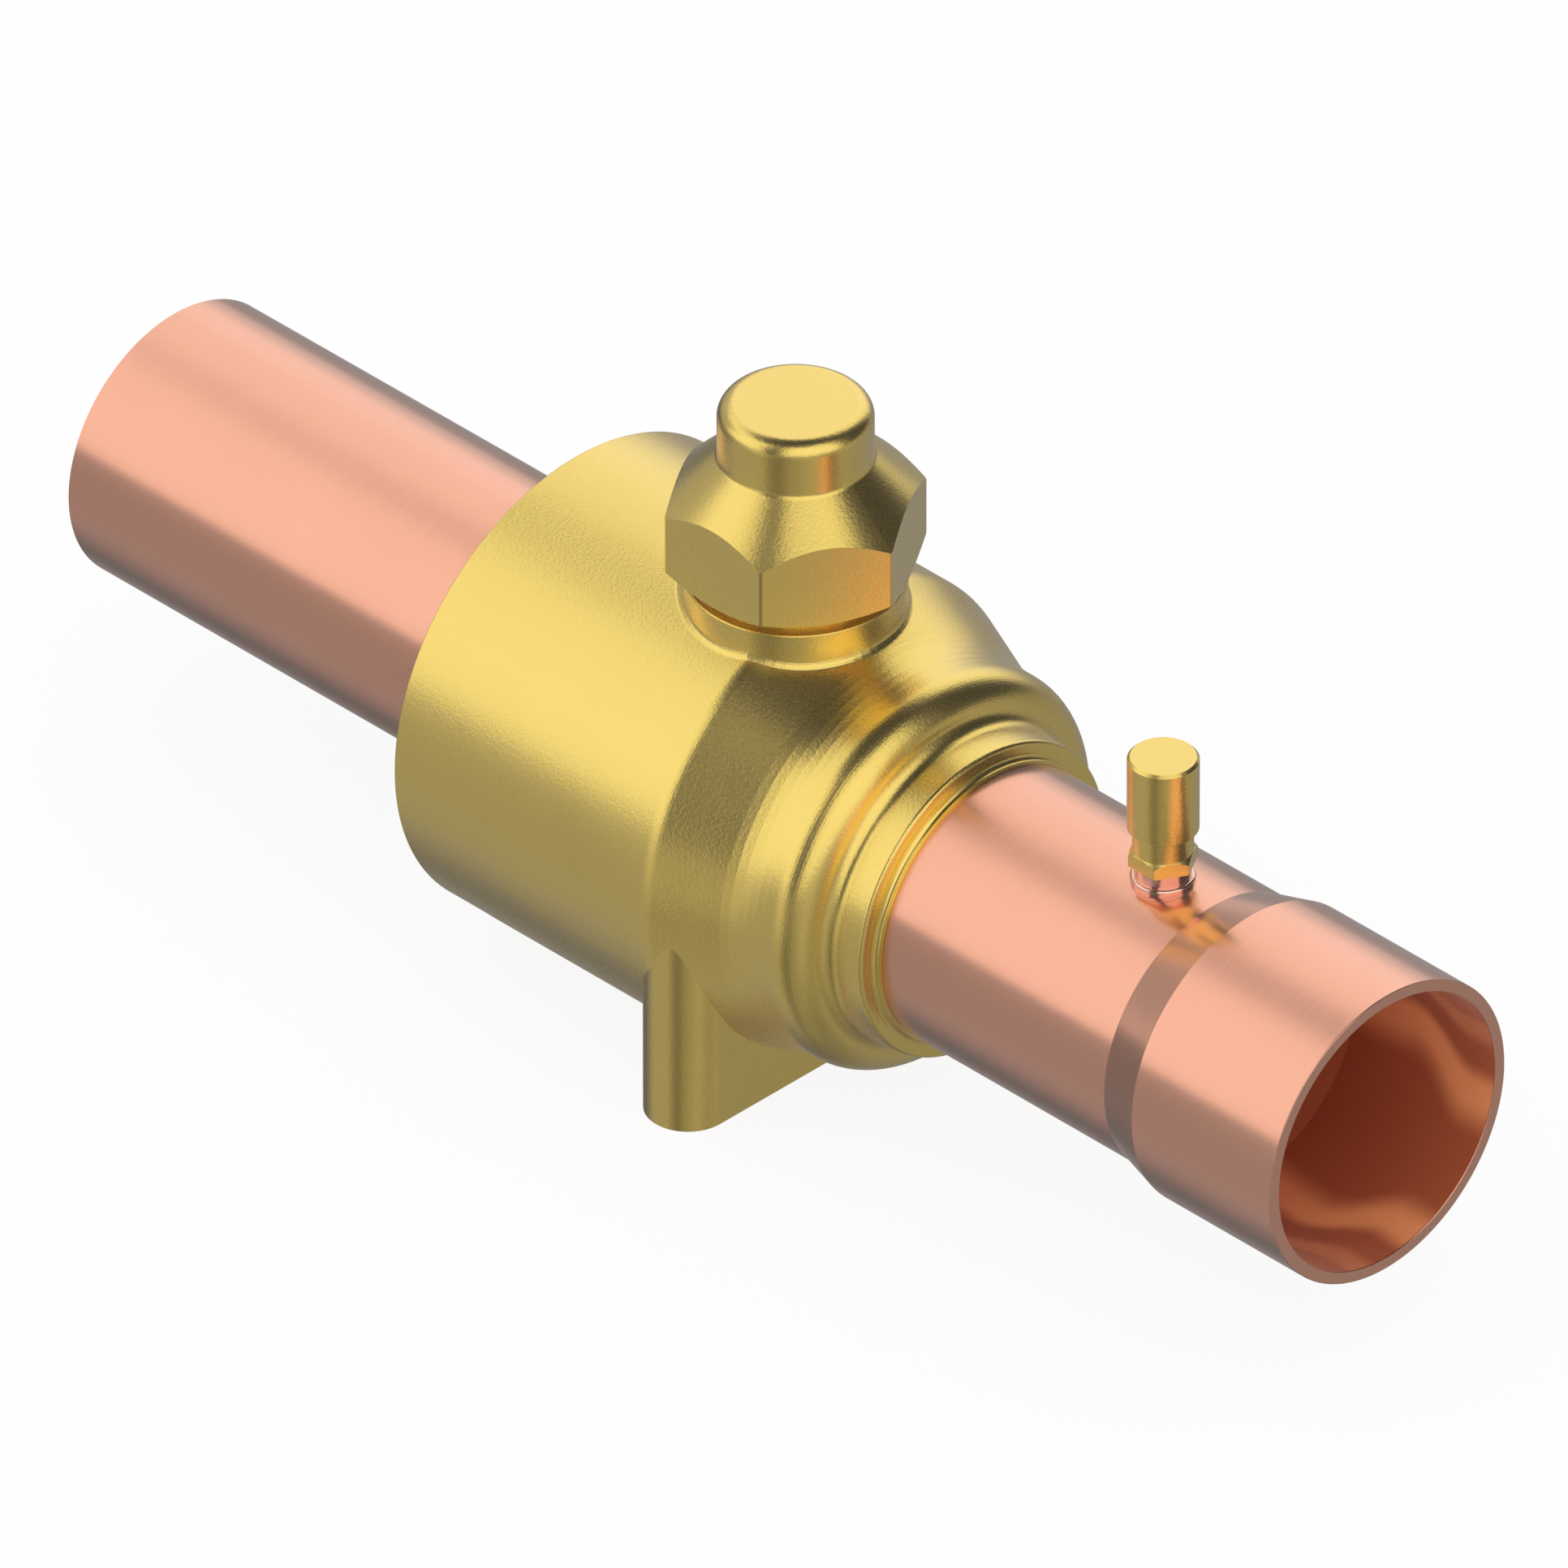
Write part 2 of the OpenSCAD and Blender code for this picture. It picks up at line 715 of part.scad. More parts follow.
// Stem with its retaining flange, the tongue that turns the ball and the wrench's square
module stem() {
    tongue_w = slot_w - 2 * tongue_gap;
    color(steel) on_axis() difference() {
        union() {
            intersection() {
                translate([-tongue_w / 2, -flange_r, slot_z + loose_gap])
                    cube([tongue_w, 2 * flange_r, flange_z - slot_z - loose_gap + past / 2]);
                round_z(flange_r - plain_edge, slot_z, flange_z + past);
            }
            turned_z(rounded([
                [0, flange_z],
                [flange_r, flange_z, plain_edge],
                [flange_r, flange_z + stem_flange_t],
                [stem_r, flange_z + stem_flange_t],
                for (z = stem_ring_zs()) each [
                    [stem_r, z - stem_groove_w / 2],
                    [stem_groove_r, z - stem_groove_w / 2],
                    [stem_groove_r, z + stem_groove_w / 2],
                    [stem_r, z + stem_groove_w / 2]
                ],
                [stem_r, neck_z, plain_edge],
                [0, neck_z]
            ]));
            intersection() {
                translate([-square_side / 2, -square_side / 2, neck_z - past])
                    cube([square_side, square_side, square_l + past]);
                turned_z([
                    [0, neck_z - past],
                    [stem_r, neck_z - past],
                    [stem_r, neck_z + square_l - square_chamfer],
                    [stem_r - square_chamfer, neck_z + square_l],
                    [0, neck_z + square_l]
                ]);
            }
        }
        translate([0, 0, stop_z]) rotate([0, 90, 0])
            cylinder(r = stop_pin_d / 2 + face_gap, h = stem_d + past, center = true);
    }
}

// Two sealing rings that turn with the stem
module stem_rings() {
    color(rubber) on_axis() for (z = stem_ring_zs())
        translate([0, 0, z]) rotate_extrude()
            translate([stem_bore_r - stem_gap / 2 - stem_ring_section / 2, 0])
                circle(d = stem_ring_section, $fn = ring_sides);
}

// Pin through the stem that meets the ends of the recess in the neck
module stop_pin() {
    color(steel) on_axis() translate([loose_gap - stem_r, 0, stop_z]) rotate([0, 90, 0])
        cylinder(r = stop_pin_d / 2, h = stem_r - loose_gap + stop_pin_reach);
}

module thrust_washer() {
    color(ptfe) on_axis() difference() {
        round_z(flange_r, washer_z, washer_z + thrust_washer_t);
        round_z(stem_bore_r, washer_z - past, washer_z + thrust_washer_t + past);
    }
}

module packing() {
    color(ptfe) on_axis() turned_z([
        [stem_bore_r, packing_z + face_gap],
        [packing_r - face_gap, packing_z + face_gap],
        [packing_r - face_gap, gland_z - face_gap],
        [stem_bore_r, gland_z - face_gap]
    ]);
}

// Nut that presses on the packing, with a slot across its top
module gland_nut() {
    color(brass_light) on_axis() difference() {
        turned_z(rounded([
            [stem_bore_r + loose_gap / 2, gland_z],
            [packing_r - thread_gap, gland_z],
            [packing_r - thread_gap, gland_z + gland_h, plain_edge],
            [stem_bore_r + loose_gap / 2, gland_z + gland_h]
        ]));
        translate([-packing_r, -gland_slot_w / 2, gland_z + gland_h - gland_slot_depth])
            cube([packing_d, gland_slot_w, gland_slot_depth + past]);
    }
}

// Cap that shuts the stem housing, turned from hexagonal bar
module seal_cap() {
    corner_r = cap_af / 2 / cos(30) - cap_corner_cut;
    chamfer_r = cap_af / 2 - cap_corner_cut / 2;
    skirt_r = neck_r + thread_gap;
    shoulder_z = gasket_z + cap_gasket_t + face_gap;
    chamber = stop_r + loose_gap;
    crown_ri = crown_r - crown_wall;
    color(brass_light) on_axis() difference() {
        intersection() {
            turned_z(rounded([
                [0, cap_z],
                [chamfer_r, cap_z],
                [corner_r, cap_z + (corner_r - chamfer_r) * tan(hex_chamfer)],
                [corner_r, crown_z - corner_r + crown_r],
                [crown_r, crown_z, crown_fillet],
                [crown_r, cap_top_z, crown_round],
                [0, cap_top_z]
            ]));
            hexagon(cap_af, cap_z, cap_top_z);
        }
        turned_z([
            [0, cap_z - past],
            [skirt_r + neck_thread, cap_z - past],
            [skirt_r + neck_thread, cap_z],
            [skirt_r, cap_z + neck_thread],
            [skirt_r, shoulder_z],
            [chamber, shoulder_z],
            [chamber, crown_z - chamber + crown_ri],
            [crown_ri, crown_z],
            [crown_ri, cap_top_z - crown_wall],
            [0, cap_top_z - crown_wall]
        ]);
    }
}

module cap_gasket() {
    color(ptfe) on_axis() difference() {
        round_z(neck_r - loose_gap, gasket_z, gasket_z + cap_gasket_t);
        round_z(stop_r + loose_gap, gasket_z - past, gasket_z + cap_gasket_t + past);
    }
}

// Copper stub brazed into the outlet tube, with a bead round its foot
module access_stub() {
    color(copper) difference() {
        union() {
            on_access() round_z(stub_r, bore_r - fine_edge, fitting_z - face_gap);
            difference() {
                on_access() turned_z(rounded([
                    [0, tube_r - past],
                    [stub_r + bead_w, tube_r - past],
                    [stub_r + bead_w, tube_r + bead_h, bead_w - fine_edge],
                    [0, tube_r + bead_h]
                ]));
                on_axis() rotate([0, 90, 0]) cylinder(r = tube_r + face_gap, h = 2 * outlet_x);
            }
        }
        on_access() round_z(stub_r - stub_wall, 0, fitting_z + past);
    }
}

// Access fitting: a spigot in the stub, a hexagon, and a thread for the cap or a hose
module access_fitting() {
    corner_r = fitting_af / 2 / cos(30) - face_gap;
    shoulder_z = fitting_hex_z + corner_r - fitting_r;
    seat_z = core_head_z - core_seal_t - core_wall;
    color(brass_light) on_access() difference() {
        union() {
            round_z(stub_r - stub_wall - braze_gap, fitting_z - stub_rise, fitting_z + past);
            intersection() {
                hexagon(fitting_af, fitting_z, fitting_top_z);
                turned_z([
                    [0, fitting_z],
                    [corner_r, fitting_z],
                    [corner_r, fitting_hex_z],
                    [fitting_r, shoulder_z],
                    [0, shoulder_z]
                ]);
            }
            turned_z(rounded([
                [0, fitting_z + past],
                [fitting_r, fitting_z + past],
                [fitting_r, fitting_hex_z + fitting_plain, fine_edge],
                [fitting_core_r, fitting_hex_z + fitting_plain],
                [fitting_core_r, fitting_top_z - fitting_cone],
                [fitting_core_r - fitting_cone, fitting_top_z, fine_edge],
                [0, fitting_top_z]
            ]));
        }
        turned_z([
            [0, fitting_z - stub_rise - past],
            [sleeve_r + pin_gap, fitting_z - stub_rise - past],
            [sleeve_r + pin_gap, seat_z],
            [core_r + thread_gap, seat_z + core_wall],
            [core_r + thread_gap, fitting_top_z + past],
            [0, fitting_top_z + past]
        ]);
    }
}

// Body of the screwed-in valve core: threaded head above, sleeve below
module core_body() {
    color(brass) on_access() difference() {
        union() {
            round_z(core_r, core_head_z, core_top_z);
            round_z(sleeve_r, core_z, core_head_z + past);
        }
        round_z(core_bore_r, core_z + core_floor, core_top_z + past);
        round_z(pin_r + pin_gap, core_z - past, core_z + core_floor + past);
    }
}

// Ring that seals the core's head in the fitting
module core_seal() {
    color(ptfe) on_access() difference() {
        round_z(core_r - face_gap, core_head_z - core_seal_t, core_head_z - face_gap);
        round_z(sleeve_r + face_gap, core_head_z - core_seal_t - past, core_head_z + past);
    }
}

// Pin that opens the core when it is pushed down
module core_pin() {
    color(steel) on_access() {
        round_z(pin_r, core_z - core_washer_t - core_disc_t / 2, core_top_z + past);
        round_z(core_disc_r, core_z - core_washer_t - core_disc_t, core_z - core_washer_t - face_gap);
        round_z(core_bore_r - pin_gap, core_collar_z, core_collar_z + core_collar_t);
    }
}

module core_washer() {
    color(rubber) on_access() difference() {
        round_z(core_disc_r, core_z - core_washer_t, core_z - face_gap);
        round_z(pin_r + face_gap, core_z - 2 * core_washer_t, core_z + past);
    }
}

// Points of the spring's wire at the turn t, seen at the angle a of its section
function spring_point(t, a) =
    let (
        free = core_collar_z - core_z - core_floor - spring_wire - 2 * face_gap,
        r = spring_r + spring_wire / 2 * cos(a),
        z = core_z + core_floor + spring_wire / 2 + face_gap + free * t / spring_turns
    )
    [r * cos(360 * t), r * sin(360 * t), z + spring_wire / 2 * sin(a)];

module core_spring() {
    n = wire_sides;
    steps = turn_steps * spring_turns;
    points = [for (i = [0:steps], k = [0:n - 1]) spring_point(i / turn_steps, 360 * k / n)];
    walls = [for (i = [0:steps - 1], k = [0:n - 1])
        let (a = i * n + k, b = i * n + (k + 1) % n) [a, a + n, b + n, b]];
    ends = [[for (k = [0:n - 1]) k], [for (k = [n - 1:-1:0]) steps * n + k]];
    color(steel) on_access() polyhedron(points, concat(walls, ends));
}

// Cap of the access fitting
module access_cap() {
    inner_r = fitting_r + thread_gap;
    outer_r = inner_r + access_cap_wall;
    ceiling_z = access_gasket_z + access_gasket_t + face_gap;
    top_z = ceiling_z + access_cap_top;
    color(brass_light) on_access() turned_z(rounded([
        [inner_r, access_cap_z],
        [outer_r, access_cap_z, fine_edge],
        [outer_r, top_z - access_cap_chamfer],
        [outer_r - access_cap_chamfer, top_z],
        [0, top_z],
        [0, ceiling_z],
        [inner_r, ceiling_z]
    ]));
}

module access_gasket() {
    color(rubber) on_access() difference() {
        round_z(fitting_r - loose_gap, access_gasket_z, access_gasket_z + access_gasket_t);
        round_z(core_r, access_gasket_z - past, access_gasket_z + access_gasket_t + past);
    }
}

valve_body();
closure();
closure_ring();
inlet_tube();
outlet_tube();
inlet_braze();
outlet_braze();
ball();
inlet_seat();
outlet_seat();
inlet_seat_ring();
outlet_seat_ring();
stem();
stem_rings();
stop_pin();
thrust_washer();
packing();
gland_nut();
seal_cap();
cap_gasket();
access_stub();
access_fitting();
core_body();
core_seal();
core_pin();
core_washer();
core_spring();
access_cap();
access_gasket();
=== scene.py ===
"""Looks of a shut-off ball valve: forged and turned brass, drawn copper tubes and a white studio."""

import json
import math

import bmesh
import bpy
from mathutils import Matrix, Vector


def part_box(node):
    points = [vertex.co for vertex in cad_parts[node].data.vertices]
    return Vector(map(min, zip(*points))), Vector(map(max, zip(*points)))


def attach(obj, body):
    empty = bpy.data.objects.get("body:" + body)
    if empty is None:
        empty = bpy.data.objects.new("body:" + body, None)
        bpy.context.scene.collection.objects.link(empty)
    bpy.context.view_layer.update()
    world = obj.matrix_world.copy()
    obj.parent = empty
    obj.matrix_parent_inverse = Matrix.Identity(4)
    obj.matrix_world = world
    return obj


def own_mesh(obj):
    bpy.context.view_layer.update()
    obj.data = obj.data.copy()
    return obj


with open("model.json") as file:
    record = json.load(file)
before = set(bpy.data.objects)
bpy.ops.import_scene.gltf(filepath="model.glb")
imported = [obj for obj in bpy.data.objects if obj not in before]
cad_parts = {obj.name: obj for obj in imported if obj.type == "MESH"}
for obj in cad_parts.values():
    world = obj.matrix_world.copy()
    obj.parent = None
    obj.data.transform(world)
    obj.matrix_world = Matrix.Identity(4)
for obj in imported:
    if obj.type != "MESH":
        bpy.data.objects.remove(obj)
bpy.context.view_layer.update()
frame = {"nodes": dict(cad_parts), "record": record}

bl_info = {
    "name": "Shut-off ball valve",
    "version": (1, 0, 0),
    "blender": (4, 5, 0),
    "location": "View3D > Sidebar > Valve",
    "description": "Finishes, threads and studio for a brass shut-off ball valve",
    "category": "Object",
}

# Height of the flow axis, which is the axis of the outlet's bell
AXIS_Z = frame["record"]["mounts"][0]["pos_m"][2]

# The outlet tube: where its cone to the bell starts and ends, and a place just inside the rim
CONE_START, CONE_END = 0.104, 0.1132
INSIDE_RIM = 0.1472
# Radius in the middle of the tube's wall, and how much wider that is in the bell
MIDDLE_OF_WALL = 0.0261
BELL_STEP = 0.0019

# Depth of the blasted grain's bump
GRAIN_DEPTH = 0.00006
# Depth of the marks that drawing leaves on copper
DRAWING_DEPTH = 0.00002
# Half the width of a thread's ridge at its root and at its crest, in pitches
HALF_ROOT, HALF_CREST = 0.47, 0.08

THREADS = {
    "neck_thread": {
        "Turns": 6.2,
        "Pitch": 0.002,
        "Core radius": 0.01695,
        "Depth": 0.001,
        "Start": (0, 0, AXIS_Z + 0.0487),
    },
    "fitting_thread": {
        "Turns": 5.6,
        "Pitch": 0.00127,
        "Core radius": 0.00487,
        "Depth": 0.0006,
        "Start": (0.0916, 0, AXIS_Z + 0.04),
    },
}

WHITE = (1.0, 1.0, 1.0, 1.0)


# Node trees


class Wire:
    """A socket that takes part in sums, products and comparisons, and adds the Math nodes for them."""

    def __init__(self, tree, socket):
        self.tree = tree
        self.socket = socket

    def __add__(self, other):
        return self.tree.maths("ADD", self, other)

    def __radd__(self, other):
        return self.tree.maths("ADD", other, self)

    def __sub__(self, other):
        return self.tree.maths("SUBTRACT", self, other)

    def __rsub__(self, other):
        return self.tree.maths("SUBTRACT", other, self)

    def __mul__(self, other):
        return self.tree.maths("MULTIPLY", self, other)

    def __rmul__(self, other):
        return self.tree.maths("MULTIPLY", other, self)

    def __truediv__(self, other):
        return self.tree.maths("DIVIDE", self, other)

    def __rtruediv__(self, other):
        return self.tree.maths("DIVIDE", other, self)

    def __gt__(self, other):
        return self.tree.maths("GREATER_THAN", self, other)

    def __lt__(self, other):
        return self.tree.maths("LESS_THAN", self, other)

    def __neg__(self):
        return self.tree.maths("SUBTRACT", 0, self)

    def __abs__(self):
        return self.tree.maths("ABSOLUTE", self)

    def over(self, start, end):
        """0 before start, 1 after end and a smooth change between them."""
        settings = {"interpolation_type": "SMOOTHSTEP"}
        inputs = {"Value": self, "From Min": start, "From Max": end}
        return self.tree.node("ShaderNodeMapRange", settings, inputs)

    def between(self, rise, fall):
        """0, then 1 after the rise and 0 again after the fall, each given by its start and end."""
        return self.over(*rise) - self.over(*fall)


class Tree:
    """Adds nodes to a shader or geometry tree."""

    def __init__(self, tree):
        self.tree = tree
        tree.nodes.clear()

    def node(self, kind, settings=None, inputs=None, output=0):
        """One node: its settings first, then values or links for its sockets. Returns an output."""
        made = self.tree.nodes.new(kind)
        for name, value in (settings or {}).items():
            setattr(made, name, value)
        for name, value in (inputs or {}).items():
            if isinstance(value, Wire):
                self.tree.links.new(value.socket, made.inputs[name])
            else:
                made.inputs[name].default_value = value
        return Wire(self, made.outputs[output]) if made.outputs else made

    def maths(self, operation, *values):
        """A Math node on one or two values."""
        return self.node("ShaderNodeMath", {"operation": operation}, dict(enumerate(values)))

    def angle(self, up, along):
        """The angle in radians of a point that lies up and along from the middle."""
        return self.maths("ARCTAN2", up, along)

    def distance(self, first, second):
        """The distance of a point from the middle."""
        return self.maths("SQRT", first * first + second * second)

    def outputs(self, wire, *names):
        """The named outputs of the node that a wire comes from."""
        return [Wire(self, wire.socket.node.outputs[name]) for name in names]

    def place(self):
        """The surface's own place on the object, in metres."""
        return self.node("ShaderNodeTexCoord", output="Object")

    def axes(self, vector):
        """The three parts of a vector."""
        split = self.node("ShaderNodeSeparateXYZ", inputs={"Vector": vector})
        return self.outputs(split, "X", "Y", "Z")

    def noise(self, vector, scale, detail=2.0, roughness=0.5):
        inputs = {"Vector": vector, "Scale": scale, "Detail": detail, "Roughness": roughness}
        return self.node("ShaderNodeTexNoise", inputs=inputs)

    def stretched_noise(self, vector, scale):
        """Noise with its own scale along each axis."""
        stretched = self.node("ShaderNodeMapping", inputs={"Vector": vector, "Scale": scale})
        return self.noise(stretched, 1.0)

    def bump(self, height, strength, distance):
        inputs = {"Strength": strength, "Distance": distance, "Height": height}
        return self.node("ShaderNodeBump", inputs=inputs)

    def blend(self, factor, first, second):
        """A colour between two. The Mix node's sockets share their names, so they go by number."""
        settings = {"data_type": "RGBA"}
        return self.node("ShaderNodeMix", settings, {0: factor, 6: first, 7: second}, output=2)


def shader(name):
    """A new material and its tree."""
    material = bpy.data.materials.new(name)
    material.use_nodes = True
    return material, Tree(material.node_tree)


def close(tree, surface):
    """The tree's Material Output."""
    tree.node("ShaderNodeOutputMaterial", inputs={"Surface": surface})


def shade(colour, factor):
    """A colour made lighter or darker."""
    return (*[min(1.0, c * factor) for c in colour[:3]], 1.0)


# Finishes


def metal(tree, colour, roughness, bump, coat, metallic=1.0):
    """A metal surface with the soft white sheen that a thin film of oxide gives towards its edges."""
    inputs = {
        "Base Color": colour,
        "Metallic": metallic,
        "Roughness": roughness,
        "Coat Weight": coat,
        "Coat Roughness": 0.4,
        "Coat IOR": 1.8,
        "Sheen Weight": 0.16,
        "Sheen Roughness": 0.5,
    }
    if bump is not None:
        inputs["Normal"] = bump
    return tree.node("ShaderNodeBsdfPrincipled", inputs=inputs)


def blasted_brass(sizes, name, cloud_scale=60.0, tones=(0.96, 1.03), smoother=0.04, clouding=0.05):
    """Brass after shot blasting: a fine even grain with faint clouds of tone."""
    material, t = shader(name)
    place = t.place()
    cloud = t.noise(place, cloud_scale, 3.0)
    grain = t.noise(place, 1.0 / sizes.grain_size, 2.0, 0.6)
    dark, light = [shade(sizes.brass_colour, tone) for tone in tones]
    roughness = sizes.brass_roughness - smoother + cloud * clouding + grain * 0.05
    bump = t.bump(grain, sizes.grain_strength, GRAIN_DEPTH)
    close(t, metal(t, t.blend(cloud, dark, light), roughness, bump, sizes.film))
    return material


def painted_bore_reflections(t, place):
    """Painted reflections round the inside of the outlet: bands of brown, orange and red, and red at
    the deep end, in place of the copper's own reflections there.
    """
    along, across, up = t.axes(place)
    below = AXIS_Z - up
    wander = t.noise(place, 35.0, 1.0) * 0.5 + along * 9.0
    turn = abs(t.angle(below, across) - math.radians(45)) - (wander - 1.15) * 0.4
    turn = turn + along.over(0.128, 0.142) * 0.35
    # Bands of painted reflection round the bore, from dark brown to bright orange
    reflection_band = turn.between((0.4, 0.66), (0.74, 0.92))
    reflection_band = reflection_band + turn.over(1.05, 1.2) * 0.4 - turn.over(1.3, 1.4) * 0.3
    painted_reflection = t.blend(reflection_band, (0.46, 0.11, 0.04, 1.0), (1.0, 0.38, 0.15, 1.0))
    # Painted red reflection towards the deep end of the bore
    deep = along.between((0.04, 0.08), (CONE_START, CONE_START + 0.002))
    return t.blend(deep, painted_reflection, (1.0, 0.14, 0.05, 1.0))


def drawn_copper_painted_bore(sizes):
    """Copper tube with fine marks round it, and with painted reflections in its bore."""
    material, t = shader("drawn_copper_painted_bore")
    place = t.place()
    along, across, up = t.axes(place)
    wall = MIDDLE_OF_WALL + along.over(CONE_START, CONE_END) * BELL_STEP
    bore = (t.distance(across, up - AXIS_Z) < wall) * (along < INSIDE_RIM)
    marks = t.stretched_noise(place, (1600.0, 40.0, 40.0))
    cloud = t.noise(place, 45.0, 2.0)
    outside = t.blend(cloud, shade(sizes.copper_colour, 0.97), shade(sizes.copper_colour, 1.02))
    # In the bore the colour is painted reflection. The copper there is rougher, has no sheen and is
    # mostly non-metal (Metallic 0.1), so that the painted reflections show in place of real ones.
    colour = t.blend(bore, outside, painted_bore_reflections(t, place))
    roughness = sizes.copper_roughness - 0.02 + marks * 0.06 + bore * 0.2
    bump = t.bump(marks, 0.2, DRAWING_DEPTH)
    close(t, metal(t, colour, roughness, bump, sizes.film * (1 - bore), 1 - bore * 0.9))
    return material


def polished_copper(sizes):
    """Copper stub, drawn bright."""
    material, t = shader("polished_copper")
    cloud = t.noise(t.place(), 300.0, 2.0)
    paler = [c + 0.25 * (1 - c) for c in sizes.copper_colour]
    colour = t.blend(cloud, shade(paler, 0.95), shade(paler, 1.0))
    close(t, metal(t, colour, 0.06 + cloud * 0.04, None, sizes.film))
    return material


def braze_filler(sizes):
    """Brazing filler, smooth with a slow ripple round the tube."""
    material, t = shader("braze_filler")
    ripple = t.noise(t.place(), 260.0, 1.0)
    colour = t.blend(ripple, shade(sizes.brass_colour, 0.96), shade(sizes.brass_colour, 1.03))
    bump = t.bump(ripple, 0.15, 0.0002)
    close(t, metal(t, colour, 0.2 + ripple * 0.06, bump, sizes.film))
    return material


def plain_metal(name, colour, low, high):
    """Turned steel or polished chrome with faint marks across its axis."""
    material, t = shader(name)
    marks = t.stretched_noise(t.place(), (60.0, 60.0, 2500.0))
    tone = t.blend(marks, shade(colour, 0.97), shade(colour, 1.03))
    roughness = low + marks * (high - low)
    inputs = {"Base Color": tone, "Metallic": 1.0, "Roughness": roughness}
    close(t, t.node("ShaderNodeBsdfPrincipled", inputs=inputs))
    return material


def moulded(name, colour, roughness, scale):
    """Moulded rubber or turned plastic."""
    material, t = shader(name)
    speckle = t.noise(t.place(), scale, 3.0)
    tone = t.blend(speckle, shade(colour, 0.9), shade(colour, 1.05))
    bump = t.bump(speckle, 0.1, 0.00003)
    inputs = {"Base Color": tone, "Roughness": roughness + speckle * 0.1, "Normal": bump}
    close(t, t.node("ShaderNodeBsdfPrincipled", inputs=inputs))
    return material


def dress(material, *names):
    """Gives the valve's own nodes a finish."""
    for name in names:
        node = frame["nodes"][name]
        if not node.material_slots:
            node.data.materials.append(material)
        for slot in node.material_slots:
            slot.material = material


# Sizes and colours that a user would change


class ValveFinish(bpy.types.PropertyGroup):
    brass_colour: bpy.props.FloatVectorProperty(
        name="Brass",
        description="Colour of forged and turned brass",
        subtype="COLOR",
        default=(0.97, 0.70, 0.13),
    )
    brass_roughness: bpy.props.FloatProperty(
        name="Brass roughness",
        description="Roughness of the blasted brass",
        default=0.26,
        min=0.0,
        max=1.0,
    )
    copper_colour: bpy.props.FloatVectorProperty(
        name="Copper",
        description="Colour of the copper tubes",
        subtype="COLOR",
        default=(0.95, 0.43, 0.27),
    )
    copper_roughness: bpy.props.FloatProperty(
        name="Copper roughness",
        description="Roughness of the drawn copper",
        default=0.19,
        min=0.0,
        max=1.0,
    )
    grain_size: bpy.props.FloatProperty(
        name="Grain",
        description="Size of the blasted grain",
        default=0.0006,
        unit="LENGTH",
        precision=5,
    )
    grain_strength: bpy.props.FloatProperty(
        name="Grain strength",
        description="Depth of the blasted grain",
        default=0.6,
        min=0.0,
        max=1.0,
    )
    film: bpy.props.FloatProperty(
        name="Film",
        description="Strength of the sheen towards the edges",
        default=1.0,
        min=0.0,
        max=1.0,
    )


class ValveStage(bpy.types.PropertyGroup):
    view_width: bpy.props.FloatProperty(
        name="View width",
        description="Width of the camera's view at the valve",
        default=0.27827,
        unit="LENGTH",
    )
    azimuth: bpy.props.FloatProperty(
        name="Azimuth",
        description="Direction of the view round the valve",
        default=math.radians(45),
        subtype="ANGLE",
    )
    elevation: bpy.props.FloatProperty(
        name="Elevation",
        description="Height of the view above the horizon",
        default=math.radians(35),
        subtype="ANGLE",
    )
    ground_shade: bpy.props.FloatProperty(
        name="Ground",
        description="Shade of the ground in the metal's reflections",
        default=0.36,
        min=0.0,
        max=1.0,
    )
    floor_size: bpy.props.FloatProperty(
        name="Floor",
        description="Side of the square floor",
        default=12.0,
        unit="LENGTH",
    )


# Pieces


THREAD_INPUTS = {
    "Turns": "NodeSocketFloat",
    "Pitch": "NodeSocketFloat",
    "Core radius": "NodeSocketFloat",
    "Depth": "NodeSocketFloat",
    "Start": "NodeSocketVector",
    "Finish": "NodeSocketMaterial",
}


def thread_tree():
    """A right-handed screw thread: a helical ridge with a flat crest that fades out at both ends."""
    group = bpy.data.node_groups.new("screw_thread", "GeometryNodeTree")
    t = Tree(group)
    group.interface.new_socket("Thread", in_out="OUTPUT", socket_type="NodeSocketGeometry")
    for name, kind in THREAD_INPUTS.items():
        group.interface.new_socket(name, in_out="INPUT", socket_type=kind)
    given = t.outputs(t.node("NodeGroupInput"), *THREAD_INPUTS)
    turns, pitch, core, depth, start, finish = given

    helix = t.node(
        "GeometryNodeCurveSpiral",
        inputs={
            "Resolution": 64,
            "Rotations": turns,
            "Start Radius": core,
            "End Radius": core,
            "Height": turns * pitch,
            "Reverse": True,
        },
    )
    turned = t.node("GeometryNodeSplineParameter") * turns
    fade = turned.over(0.0, 0.5) * (turns - turned).over(0.0, 0.5)
    helix = t.node("GeometryNodeSetCurveRadius", inputs={"Curve": helix, "Radius": fade})
    helix = t.node("GeometryNodeSetCurveNormal", {"mode": "Z_UP"}, {"Curve": helix})
    corners = ((0, -HALF_ROOT), (depth, -HALF_CREST), (depth, HALF_CREST), (0, HALF_ROOT))
    points = {}
    for number, (out, up) in enumerate(corners, 1):
        corner = t.node("ShaderNodeCombineXYZ", inputs={"X": out, "Y": pitch * up})
        points[f"Point {number}"] = corner
    profile = t.node("GeometryNodeCurvePrimitiveQuadrilateral", {"mode": "POINTS"}, points)
    inputs = {"Curve": helix, "Profile Curve": profile, "Fill Caps": True}
    ridge = t.node("GeometryNodeCurveToMesh", inputs=inputs)
    ridge = t.node("GeometryNodeTransform", inputs={"Geometry": ridge, "Translation": start})
    ridge = t.node("GeometryNodeRealizeInstances", inputs={"Geometry": ridge})
    ridge = t.node("GeometryNodeSetMaterial", inputs={"Geometry": ridge, "Material": finish})
    t.node("NodeGroupOutput", inputs={"Thread": ridge})
    return group


